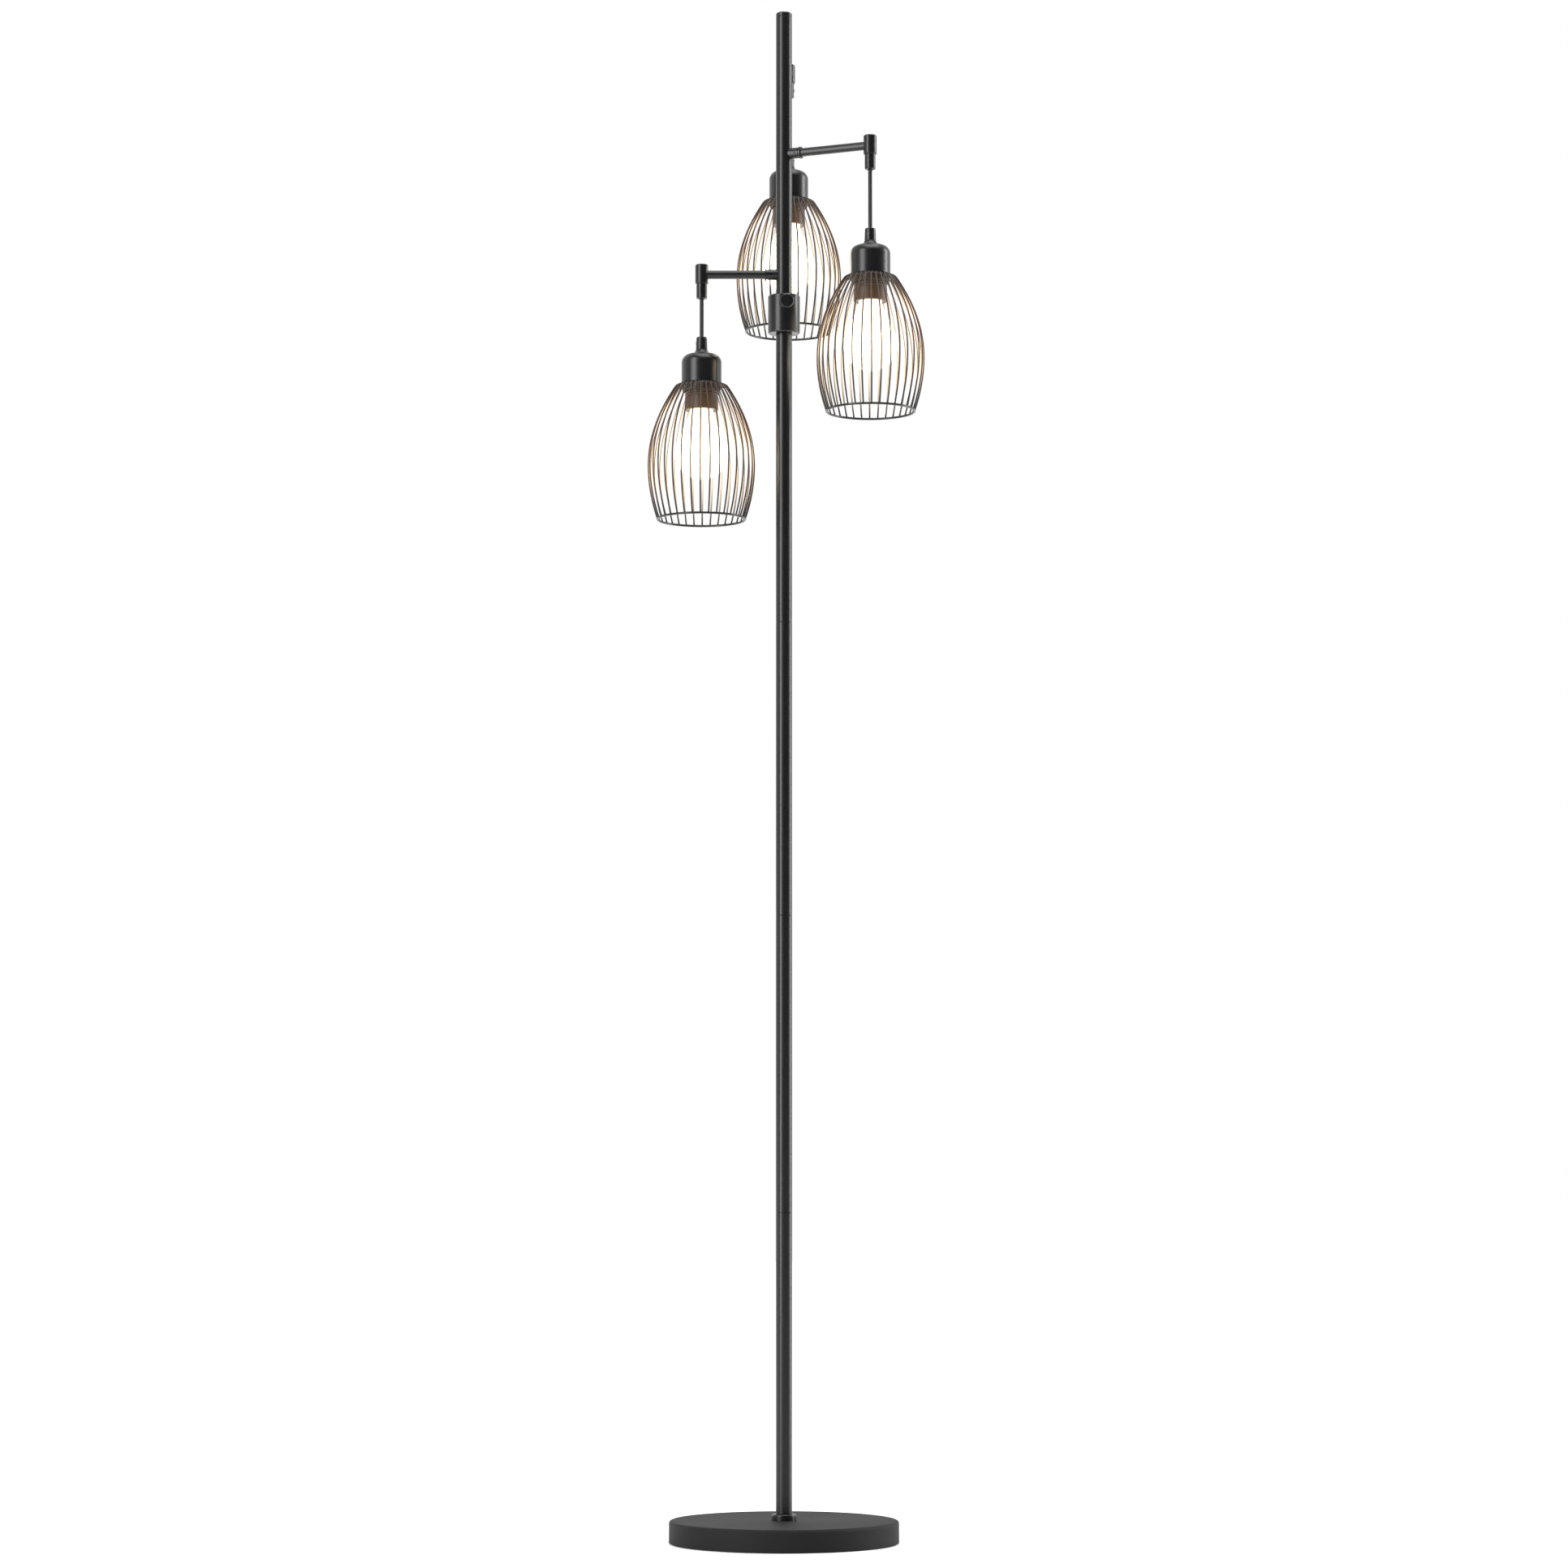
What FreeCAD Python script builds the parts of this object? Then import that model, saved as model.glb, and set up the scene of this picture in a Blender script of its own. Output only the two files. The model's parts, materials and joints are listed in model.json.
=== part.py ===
import FreeCAD, Part
import Sketcher
import math
import os

# A floor lamp: a heavy round base, a pole of screwed tubes with a switch housing, and three
# short arms, each with a wire cage lamp on a short hanging cord. Millimetres, +Z up, the
# origin on the floor under the pole, and the viewer's side at -Y.

doc = FreeCAD.newDocument("cage_floor_lamp")
sheet = doc.addObject("Spreadsheet::Sheet", "sheet")

sizes = {
    # base
    "base_radius": 125, "base_top": 24.5, "base_wall": 1.5, "base_edge_round": 3, "base_lift": 1,
    "pad_thick": 3, "inner_gap": 0.5, "recess_radius": 17, "recess_depth": 11, "weight_thick": 12,
    "weight_rib": 10, "weight_hub": 30, "slot_width": 12,
    "inlet_height": 10, "inlet_sleeve_radius": 5.2, "inlet_bore_radius": 3.3,
    "inlet_flange_radius": 7.2, "inlet_flange_thick": 1.8, "inlet_sleeve_length": 6,
    # foot
    "flange_radius": 13.5, "flange_height": 6.8, "flange_round": 2,
    "stud_radius": 5, "stud_bore_radius": 3.5, "stud_length": 12, "thread_gap": 0.1,
    "washer_radius": 14, "washer_thick": 2, "nut_across_flats": 17, "nut_height": 5,
    # pole
    "pole_radius": 9, "pole_wall": 1.2, "section_length": 325.25, "plug_length": 18,
    "seam_round": 0.4, "upper_length": 318.7, "upper_stud": 4.5, "cap_height": 5,
    "cap_edge": 1.2,
    "cap_spigot_length": 9, "cable_radius": 2.4,
    # switch
    "housing_radius": 17.8, "housing_height": 43, "housing_wall": 2, "housing_plate": 5,
    "housing_edge": 1, "switch_radius": 13, "switch_height": 20, "knob_height": 32.1,
    "knob_turn": 7, "knob_radius": 7.8, "knob_length": 11, "knob_gap": 0.6, "knob_edge": 1,
    "spindle_radius": 3, "spindle_depth": 6, "spindle_clear": 0.5, "running_gap": 0.06,
    # arms
    "left_angle": 180, "right_angle": -23, "rear_angle": 87,
    "left_rise": 24.2, "right_drop": 157, "rear_drop": 38,
    "left_reach": 92, "right_reach": 104, "rear_reach": 104,
    "arm_radius": 4.75, "arm_wall": 1, "boss_radius": 6, "boss_length": 9.5,
    "boss_ring_radius": 6.6, "boss_ring_width": 2, "boss_groove_width": 0.8,
    "boss_groove_depth": 0.7, "boss_socket": 8, "spigot_radius": 4, "spigot_inset": 3.5,
    "lead_gap": 0.35, "lead_bend": 4.5, "seat_gap": 0.05, "arm_seat": 0.6,
    "screw_radius": 1.5, "screw_length": 2.2, "screw_proud": 0.5, "screw_slot": 0.5,
    # tee and its gland
    "tee_radius": 7.3, "tee_above": 11.4, "tee_below": 10.2, "tee_edge": 1, "tee_bore": 4,
    "gland_radius": 6, "gland_length": 17, "gland_edge": 0.6, "gland_spigot": 6,
    # cord and its mouths
    "cord_radius": 2.25, "mouth_radius": 4.1, "mouth_depth": 3,
    "pivot_depth": 1.5, "left_cord_shown": 44, "right_cord_shown": 67, "rear_cord_shown": 67,
    # cup and lampholder
    "cup_radius": 22.25, "cup_height": 33.4, "cup_top_radius": 13.5, "cup_side": 24.4,
    "cup_shoulder_round": 10,
    "cup_wall": 1.2, "cup_gland_radius": 5.9, "cup_gland_length": 16.8, "cup_gland_taper": 0.5,
    "cup_flange_radius": 9.4, "cup_flange_thick": 2.4, "cup_flange_edge": 0.7, "cup_flare_up": 6,
    "cup_flare_round": 8, "cup_screw_height": 10, "holder_radius": 18.6, "holder_below": 30,
    "holder_cavity": 13.6, "holder_roof": 12, "nut_gap": 0.2,
    "ring_nut_radius": 21.2, "ring_nut_height": 8,
    # cage
    "hub_radius": 23.6, "hub_thick": 1.2, "shoulder_radius": 28.6, "shoulder_drop": 2.7,
    "cage_radius": 59, "cage_full_drop": 90, "cage_height": 150, "cage_mouth_radius": 48.6,
    "wire_count": 34, "wire_width": 1.75, "wire_inset": 0.7, "ring_width": 2.6,
    # bulb
    "bulb_radius": 30, "bulb_length": 80, "glass_wall": 0.8, "neck_radius": 12.9,
    "neck_length": 6, "base_shell_radius": 13.1, "base_shell_length": 22, "bulb_seat": 2,
    "filament_drop": 54, "filament_width": 16, "filament_radius": 0.5, "support_radius": 1.6,
}
for row, (alias, size) in enumerate(sizes.items(), start=1):
    sheet.set(f"A{row}", alias)
    sheet.set(f"B{row}", str(size))
    sheet.setAlias(f"B{row}", alias)
doc.recompute()


def val(alias):
    """The sheet's value of one size, as a plain number."""
    return float(sheet.get(alias))


class Outline:
    """A closed profile, drawn as straight lines and arcs between corners given as expressions."""

    def __init__(self):
        self.corners = []
        self.arcs = {}

    def to(self, across, up):
        self.corners.append((str(across), str(up)))
        return self

    def arc(self, radius, side):
        """The edge that leaves the last corner is an arc; side +1 puts its centre on the left."""
        self.arcs[len(self.corners) - 1] = (radius, side)
        return self


def bound(text):
    """The expression with each size read from the sheet."""
    words = []
    for word in text.replace("(", "( ").replace(")", " )").split():
        words.append("sheet." + word if word in sizes else word)
    return " ".join(words)


def number(text):
    """The expression's value now, which places the geometry before it is constrained."""
    return float(sheet.evalExpression(bound(text)))


def originOf(body, role):
    return next(item for item in body.Origin.OriginFeatures if item.Role == role)


def addSketch(body, plane, outline, name):
    """A fully constrained sketch of the outline on one of the body's own planes."""
    sketch = body.newObject("Sketcher::SketchObject", name)
    sketch.AttachmentSupport = [(originOf(body, plane), "")]
    sketch.MapMode = "FlatFace"
    places = [FreeCAD.Vector(number(a), number(u), 0) for a, u in outline.corners]
    count = len(places)
    for i, start in enumerate(places):
        end = places[(i + 1) % count]
        if i in outline.arcs:
            radius = number(outline.arcs[i][0])
            side = outline.arcs[i][1]
            sketch.addGeometry(arcBetween(start, end, radius, side), False)
        else:
            sketch.addGeometry(Part.LineSegment(start, end), False)
    for i, (across, up) in enumerate(outline.corners):
        first, last = ends(outline, i)
        for kind, text in (("DistanceX", across), ("DistanceY", up)):
            place = places[i].x if kind == "DistanceX" else places[i].y
            index = sketch.addConstraint(Sketcher.Constraint(kind, -1, 1, i, first, place))
            sketch.setExpression(f"Constraints[{index}]", bound(text))
        following = (i + 1) % count
        joint = Sketcher.Constraint("Coincident", i, last, following, ends(outline, following)[0])
        sketch.addConstraint(joint)
        if i in outline.arcs:
            radius = number(outline.arcs[i][0])
            index = sketch.addConstraint(Sketcher.Constraint("Radius", i, radius))
            sketch.setExpression(f"Constraints[{index}]", bound(outline.arcs[i][0]))
    return sketch


def ends(outline, index):
    """Which ends of edge index are its start and end: an arc is stored anticlockwise."""
    if index in outline.arcs and outline.arcs[index][1] < 0:
        return 2, 1
    return 1, 2


def arcBetween(start, end, radius, side):
    chord = end.sub(start)
    middle = start.add(end).multiply(0.5)
    rise = math.sqrt(max(radius**2 - (chord.Length / 2) ** 2, 0))
    normal = FreeCAD.Vector(-chord.y, chord.x, 0).normalize()
    centre = middle.add(normal.multiply(rise * side))
    a = math.atan2(start.y - centre.y, start.x - centre.x)
    b = math.atan2(end.y - centre.y, end.x - centre.x)
    circle = Part.Circle(centre, FreeCAD.Vector(0, 0, 1), radius)
    return Part.ArcOfCircle(circle, a, b) if side > 0 else Part.ArcOfCircle(circle, b, a)


def newBody(label, placement=None):
    body = doc.addObject("PartDesign::Body", label)
    body.Label = label
    if placement is not None:
        body.Placement = placement
    return body


def turned(label, outline, placement=None):
    """A piece turned about its own Z axis, from its half section in the XZ plane."""
    body = newBody(label, placement)
    sketch = addSketch(body, "XZ_Plane", outline, label + "_section")
    turn = body.newObject("PartDesign::Revolution", label + "_turn")
    turn.Profile = sketch
    turn.ReferenceAxis = (sketch, ["V_Axis"])
    turn.Angle = 360
    sketch.Visibility = False
    doc.recompute()
    return body


def outlineOf(*corners):
    outline = Outline()
    for across, up in corners:
        outline.to(across, up)
    return outline


def placed(x, y, z, angle=0):
    return FreeCAD.Placement(
        FreeCAD.Vector(x, y, z), FreeCAD.Rotation(FreeCAD.Vector(0, 0, 1), angle)
    )


def rod(name, radius, length, placement):
    """A plain cylinder along its own Z, used to cut or to add to a piece."""
    item = doc.addObject("Part::Cylinder", name)
    item.setExpression("Radius", bound(radius))
    item.setExpression("Height", bound(length))
    item.Placement = placement
    return item


def along(direction, start):
    """A placement whose Z runs in the direction, from the start point."""
    turn = FreeCAD.Rotation(FreeCAD.Vector(0, 0, 1), direction)
    return FreeCAD.Placement(start, turn)


def cutFrom(label, base, tools, placement=None):
    """The base with each tool cut away."""
    joined = tools[0]
    if len(tools) > 1:
        joined = doc.addObject("Part::MultiFuse", label + "_tools")
        joined.Shapes = tools
    cut = doc.addObject("Part::Cut", label)
    cut.Base = base
    cut.Tool = joined
    cut.Label = label
    if placement is not None:
        cut.Placement = placement
    doc.recompute()
    return cut


def fused(name, items):
    whole = doc.addObject("Part::MultiFuse", name)
    whole.Shapes = items
    doc.recompute()
    return whole


pieces = []
origin = FreeCAD.Vector(0, 0, 0)
alongX = FreeCAD.Vector(1, 0, 0)
alongY = FreeCAD.Vector(0, 1, 0)
alongZ = FreeCAD.Vector(0, 0, 1)


# ---- base ----------------------------------------------------------------------------------

def makeBase():
    shell = turned("base_shell_body", Outline()
        .to("base_radius", "base_lift")
        .to("base_radius", "base_top - base_edge_round")
        .arc("base_edge_round", 1)
        .to("base_radius - base_edge_round", "base_top")
        .to("stud_radius + thread_gap", "base_top")
        .to("stud_radius + thread_gap", "base_top - base_wall")
        .to("base_radius - base_wall", "base_top - base_wall")
        .to("base_radius - base_wall", "base_lift"))
    start = FreeCAD.Vector(0, val("base_radius") - 3 * val("base_wall"), val("inlet_height"))
    hole = rod("inlet_hole", "inlet_sleeve_radius + seat_gap", "6 * base_wall",
               along(alongY, start))
    pieces.append(cutFrom("base_shell", shell, [hole]))

    edge = "base_radius - base_wall - inner_gap"
    top = "pad_thick + weight_thick"
    ceiling = "base_top - base_wall"
    weight = turned("base_weight_body", outlineOf(
        ("stud_radius + inner_gap", "pad_thick + recess_depth"),
        ("recess_radius", "pad_thick + recess_depth"),
        ("recess_radius", "pad_thick"),
        (edge, "pad_thick"),
        (edge, ceiling),
        (edge + " - weight_rib", ceiling),
        (edge + " - weight_rib", top),
        ("weight_hub", top),
        ("weight_hub", ceiling),
        ("stud_radius + inner_gap", ceiling)))
    slot = doc.addObject("Part::Box", "cord_slot")
    slot.setExpression("Length", bound("slot_width"))
    slot.setExpression("Width", bound("base_radius"))
    slot.setExpression("Height", bound("weight_thick + inner_gap"))
    slot.Placement = placed(-val("slot_width") / 2, 0, val("pad_thick"))
    pieces.append(cutFrom("base_weight", weight, [slot]))

    pieces.append(turned("base_pad", outlineOf(
        (0, 0), (edge, 0), (edge, "pad_thick"), (0, "pad_thick"))))

    sleeve = "inlet_sleeve_length"
    inlet = along(alongY.negative(), FreeCAD.Vector(
        0, val("base_radius") + val("inlet_flange_thick") + val("lead_gap"),
        val("inlet_height")))
    pieces.append(turned("cord_inlet", outlineOf(
        ("inlet_bore_radius", 0),
        ("inlet_flange_radius - 0.5", 0),
        ("inlet_flange_radius", 0.5),
        ("inlet_flange_radius", "inlet_flange_thick"),
        ("inlet_sleeve_radius", "inlet_flange_thick"),
        ("inlet_sleeve_radius", "inlet_flange_thick + " + sleeve),
        ("inlet_bore_radius", "inlet_flange_thick + " + sleeve)), inlet))


def makeFoot():
    bore = "stud_radius + thread_gap"
    pieces.append(turned("foot_flange", Outline()
        .to(bore, 0)
        .to("flange_radius", 0)
        .to("flange_radius", "flange_height - flange_round")
        .arc("flange_round", 1)
        .to("flange_radius - flange_round", "flange_height")
        .to(bore, "flange_height"), placed(0, 0, val("base_top"))))

    seat = val("pad_thick") + val("recess_depth")
    washerFoot = seat - val("washer_thick")
    nutFoot = washerFoot - val("nut_height")
    studFoot = nutFoot - 1
    pieces.append(turned("foot_washer", outlineOf(
        (bore, 0), ("washer_radius", 0), ("washer_radius", "washer_thick"),
        (bore, "washer_thick")), placed(0, 0, washerFoot)))

    nut = doc.addObject("Part::Prism", "foot_nut_hexagon")
    nut.Polygon = 6
    nut.setExpression("Circumradius", bound("nut_across_flats / sqrt(3)"))
    nut.setExpression("Height", bound("nut_height"))
    thread = rod("foot_nut_thread", bore, "nut_height", FreeCAD.Placement())
    pieces.append(cutFrom("foot_nut", nut, [thread], placed(0, 0, nutFoot)))

    top = val("base_top") + val("flange_height") + val("stud_length")
    stud = rod("foot_stud_rod", "stud_radius", f"{top - studFoot}", placed(0, 0, studFoot))
    bore = rod("foot_stud_bore", "stud_bore_radius", f"{top - studFoot}",
               placed(0, 0, studFoot))
    pieces.append(cutFrom("foot_stud", stud, [bore]))
    return studFoot


# ---- pole ----------------------------------------------------------------------------------

def tubeOutline(length, studs):
    """A tube with a plug in each end that is threaded inside; studs stand out of its ends."""
    inner = "pole_radius - pole_wall"
    thread = "stud_radius + thread_gap"
    low, high = studs
    outline = Outline()
    if low:
        outline.to("stud_bore_radius", "0 - " + low).to("stud_radius", "0 - " + low)
        outline.to("stud_radius", 0)
    else:
        outline.to(thread, 0)
    outline.to("pole_radius - seam_round", 0).to("pole_radius", "seam_round")
    outline.to("pole_radius", length + " - seam_round").to("pole_radius - seam_round", length)
    if high:
        outline.to("stud_radius", length).to("stud_radius", length + " + " + high)
        outline.to("stud_bore_radius", length + " + " + high)
        outline.to("stud_bore_radius", length + " - plug_length")
        outline.to(inner, length + " - plug_length")
    else:
        outline.to(inner, length)
    outline.to(inner, "plug_length")
    outline.to("stud_bore_radius" if low else thread, "plug_length")
    return outline


def makePole():
    foot = val("base_top") + val("flange_height")
    for i in range(4):
        place = placed(0, 0, foot + i * val("section_length"))
        outline = tubeOutline("section_length", (None, "stud_length"))
        pieces.append(turned(f"pole_section_{i + 1}", outline, place))
    return sectionsTop()


def sectionsTop():
    return val("base_top") + val("flange_height") + 4 * val("section_length")


def makeSwitch(floor):
    bore = "stud_radius + thread_gap"
    wall = "housing_radius - housing_wall"
    shell = turned("switch_housing_body", outlineOf(
        (bore, 0),
        ("housing_radius - housing_edge", 0),
        ("housing_radius", "housing_edge"),
        ("housing_radius", "housing_height - housing_edge"),
        ("housing_radius - housing_edge", "housing_height"),
        (bore, "housing_height"),
        (bore, "housing_height - housing_plate"),
        (wall, "housing_height - housing_plate"),
        (wall, "housing_plate"),
        (bore, "housing_plate")))
    turn = math.radians(val("knob_turn"))
    out = FreeCAD.Vector(math.sin(turn), -math.cos(turn), 0)
    centre = FreeCAD.Vector(0, 0, val("knob_height"))
    hole = rod("spindle_hole", "spindle_radius + spindle_clear", "2 * housing_radius",
               along(out, centre))
    place = placed(0, 0, floor)
    pieces.append(cutFrom("switch_housing", shell, [hole], place))

    block = rod("switch_block", "switch_radius", "switch_height",
                placed(0, 0, val("housing_height") - val("housing_plate")
                       - val("switch_height")))
    inner = val("switch_radius") - val("spindle_depth")
    socket = rod("switch_socket", "spindle_radius + running_gap", "switch_radius",
                 along(out, centre + out * inner))
    pieces.append(cutFrom("switch_body", block, [socket], place))

    back = val("housing_radius") + val("knob_gap")
    reach = back - inner - val("knob_gap")
    knob = along(out, place.Base + centre + out * back)
    pieces.append(turned("switch_knob", outlineOf(
        (0, f"0 - {reach}"),
        ("spindle_radius", f"0 - {reach}"),
        ("spindle_radius", 0),
        ("knob_radius", 0),
        ("knob_radius", "knob_length - knob_edge"),
        ("knob_radius - knob_edge", "knob_length"),
        (0, "knob_length")), knob))


def armHeight(side):
    """The left arm is set up from the switch housing, the others down from the pole's top."""
    foot = sectionsTop() + val("housing_height")
    if side == "left":
        return foot + val("left_rise")
    return foot + val("upper_length") - val(side + "_drop")


def armFrame(side):
    """The frame of one arm: its X up, its Z out along the arm from the pole's axis."""
    angle = math.radians(val(side + "_angle"))
    out = FreeCAD.Vector(math.cos(angle), math.sin(angle), 0)
    turn = FreeCAD.Rotation(alongZ, out.cross(alongZ), out, "ZXY")
    return FreeCAD.Placement(FreeCAD.Vector(0, 0, armHeight(side)), turn)


def makeUpperPole(floor):
    tube = turned("upper_pole_body", tubeOutline("upper_length", ("upper_stud", None)))
    place = placed(0, 0, floor)
    holes = []
    for side in sides:
        frame = place.inverse().multiply(armFrame(side))
        holes.append(rod(side + "_pole_hole", "spigot_radius + seat_gap", "2 * pole_radius",
                         frame))
    pieces.append(cutFrom("upper_pole", tube, holes, place))

    pieces.append(turned("top_cap", outlineOf(
        (0, "0 - cap_spigot_length"),
        ("pole_radius - pole_wall - thread_gap", "0 - cap_spigot_length"),
        ("pole_radius - pole_wall - thread_gap", 0),
        ("pole_radius - seam_round", 0),
        ("pole_radius", "seam_round"),
        ("pole_radius", "cap_height - cap_edge"),
        ("pole_radius - cap_edge", "cap_height"),
        (0, "cap_height")), placed(0, 0, floor + val("upper_length"))))


# ---- arms ----------------------------------------------------------------------------------

sides = ("left", "right", "rear")
screwSides = {"left": -1, "right": 1, "rear": 1}


def bossEnd():
    return (val("pole_radius") + val("boss_length") + val("boss_groove_width")
            + val("boss_ring_width"))


def makeBoss(side):
    end = bossEnd()
    groove = end - val("boss_ring_width") - val("boss_groove_width")
    inside = val("pole_radius") / 2
    body = turned(side + "_boss_body", outlineOf(
        (0, f"{inside}"),
        ("boss_radius", f"{inside}"),
        ("boss_radius", f"{groove}"),
        ("boss_radius - boss_groove_depth", f"{groove}"),
        ("boss_radius - boss_groove_depth", f"{groove} + boss_groove_width"),
        ("boss_ring_radius", f"{groove} + boss_groove_width"),
        ("boss_ring_radius", f"{end}"),
        (0, f"{end}")))
    pole = rod(side + "_saddle", "pole_radius + seat_gap", "4 * boss_radius",
               along(alongX, FreeCAD.Vector(-2 * val("boss_radius"), 0, 0)))
    saddled = cutFrom(side + "_boss_saddled", body, [pole])
    start = val("pole_radius") - val("spigot_inset")
    spigot = rod(side + "_spigot", "spigot_radius", "2 * spigot_inset", placed(0, 0, start))
    whole = fused(side + "_boss_whole", [saddled, spigot])
    bore = rod(side + "_boss_bore", "cord_radius + lead_gap", f"{end}", FreeCAD.Placement())
    socket = rod(side + "_boss_socket", "arm_radius + seat_gap", "boss_socket",
                 placed(0, 0, end - val("boss_socket")))
    screw = rod(side + "_boss_screw_hole", "screw_radius", "2 * boss_radius",
                along(alongY * screwSides[side], FreeCAD.Vector(0, 0, bossScrew())))
    pieces.append(cutFrom(side + "_arm_boss", whole, [bore, socket, screw], armFrame(side)))


def bossScrew():
    return val("pole_radius") + val("boss_length") - 2.5 * val("screw_radius")


def makeArm(side):
    start = bossEnd() - val("boss_socket")
    end = val(side + "_reach") - val("tee_bore") - val("arm_seat")
    pieces.append(turned(side + "_arm_tube", outlineOf(
        ("arm_radius - arm_wall", f"{start}"), ("arm_radius", f"{start}"),
        ("arm_radius", f"{end}"), ("arm_radius - arm_wall", f"{end}")), armFrame(side)))


def teeFrame(side):
    """Upright frame at the crossing of the arm's axis and the lamp's axis."""
    angle = val(side + "_angle")
    reach = val(side + "_reach")
    out = FreeCAD.Rotation(alongZ, angle).multVec(alongX * reach)
    return placed(out.x, out.y, armHeight(side), angle)


def makeTee(side):
    body = turned(side + "_tee_body", outlineOf(
        (0, "0 - tee_below"),
        ("tee_radius - tee_edge / 2", "0 - tee_below"),
        ("tee_radius", "tee_edge / 2 - tee_below"),
        ("tee_radius", "tee_above - tee_edge"),
        ("tee_radius - tee_edge", "tee_above"),
        (0, "tee_above")))
    depth = val("tee_below")
    well = rod(side + "_tee_well", "tee_bore", "tee_below + tee_bore", placed(0, 0, -depth))
    socket = rod(side + "_tee_socket", "arm_radius + seat_gap", "2 * tee_radius",
                 along(alongX.negative(), origin))
    pieces.append(cutFrom(side + "_tee", body, [well, socket], teeFrame(side)))


def glandBottom(side):
    return armHeight(side) - val("tee_below") - val("gland_length")


def makeTeeGland(side):
    bore = "cord_radius + lead_gap"
    body = turned(side + "_tee_gland_body", outlineOf(
        (bore, "mouth_depth"),
        ("mouth_radius", 0),
        ("gland_radius - gland_edge", 0),
        ("gland_radius", "gland_edge"),
        ("gland_radius", "gland_length"),
        ("tee_bore - thread_gap", "gland_length"),
        ("tee_bore - thread_gap", "gland_length + gland_spigot"),
        (bore, "gland_length + gland_spigot")))
    frame = teeFrame(side)
    frame.Base.z = glandBottom(side)
    screw = rod(side + "_gland_screw_hole", "screw_radius", "2 * gland_radius",
                along(alongY * -screwSides[side],
                      FreeCAD.Vector(0, 0, val("gland_length") / 2)))
    pieces.append(cutFrom(side + "_tee_gland", body, [screw], frame))


def screwShape(length):
    """A slotted grub screw along Z, with its slotted end at the origin."""
    radius = val("screw_radius") - val("seat_gap")
    slot = val("screw_slot")
    body = Part.makeCylinder(radius, length, FreeCAD.Vector(0, 0, -length))
    cutter = Part.makeBox(4 * radius, slot, 2 * slot,
                          FreeCAD.Vector(-2 * radius, -slot / 2, -slot))
    return body.cut(cutter)


def makeScrews():
    screws = []
    for side in sides:
        onTube = val("boss_radius") + val("screw_proud") - val("arm_radius") - val("seat_gap")
        seats = (
            (armFrame(side), alongY * screwSides[side], bossScrew(), val("boss_radius"), onTube),
            (teeFrame(side), alongY * -screwSides[side],
             -val("tee_below") - val("gland_length") / 2, val("gland_radius"),
             val("screw_length")),
        )
        for frame, facing, height, radius, length in seats:
            start = FreeCAD.Vector(0, 0, height) + facing * (radius + val("screw_proud"))
            screw = screwShape(length)
            screw.Placement = frame.multiply(along(facing, start))
            screws.append(screw)
    group = doc.addObject("Part::Feature", "set_screws")
    group.Shape = Part.makeCompound(screws)
    pieces.append(group)


def leadShape(side):
    """The cable held inside one arm: up through the gland, round the tee and to the pole."""
    radius = val("cord_radius")
    bend = val("lead_bend")
    reach = val(side + "_reach")
    low = -val("tee_below") - val("gland_length") + val("pivot_depth") + radius
    start = FreeCAD.Vector(low + val("lead_gap"), 0, reach)
    turnStart = FreeCAD.Vector(-bend, 0, reach)
    turnEnd = FreeCAD.Vector(0, 0, reach - bend)
    lean = bend * math.sqrt(0.5)
    turnMiddle = FreeCAD.Vector(lean - bend, 0, reach - bend + lean)
    end = FreeCAD.Vector(0, 0, val("cable_radius") + val("lead_gap"))
    path = Part.Wire([
        Part.LineSegment(start, turnStart).toShape(),
        Part.Arc(turnStart, turnMiddle, turnEnd).toShape(),
        Part.LineSegment(turnEnd, end).toShape(),
    ])
    section = Part.Wire(Part.makeCircle(radius, start, alongX))
    return path.makePipeShell([section], True, True)


def makeCables(studFoot, switchFloor):
    leads = []
    for side in sides:
        lead = leadShape(side)
        lead.Placement = armFrame(side)
        leads.append(lead)
    group = doc.addObject("Part::Feature", "arm_leads")
    group.Shape = Part.makeCompound(leads)
    pieces.append(group)

    radius = val("cable_radius")
    low = studFoot - 2
    switchTop = switchFloor + val("housing_height") - val("housing_plate")
    switchFoot = switchTop - val("switch_height")
    top = max(armHeight(side) for side in sides) + val("cord_radius")
    lower = Part.makeCylinder(radius, switchFoot - low, FreeCAD.Vector(0, 0, low))
    upper = Part.makeCylinder(radius, top - switchTop, FreeCAD.Vector(0, 0, switchTop))
    supply = doc.addObject("Part::Feature", "supply_cable")
    supply.Shape = Part.makeCompound([lower, upper])
    pieces.append(supply)


# ---- hanging lamps -------------------------------------------------------------------------

def lampFrame(side):
    """The frame of one lamp: on its axis, level with the bottom edge of its cup."""
    frame = teeFrame(side)
    frame.Base.z = cordEnds(side)[0] + val("pivot_depth") - (
        val("cup_height") + val("cup_flange_thick") + val("cup_gland_length"))
    return frame


def cordEnds(side):
    """Heights of the two points that the cord bends at, one inside each gland's mouth."""
    bottom = glandBottom(side)
    return (bottom - val(side + "_cord_shown") - val("pivot_depth"),
            bottom + val("pivot_depth"))


def makeCord(side):
    low, high = cordEnds(side)
    length = f"{high - low}"
    pieces.append(turned(side + "_cord", Outline()
        .to(0, "0 - cord_radius")
        .arc("cord_radius", 1)
        .to("cord_radius", 0)
        .to("cord_radius", length)
        .arc("cord_radius", 1)
        .to(0, length + " + cord_radius"), placed(*teeFrame(side).Base[:2], low)))


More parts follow.
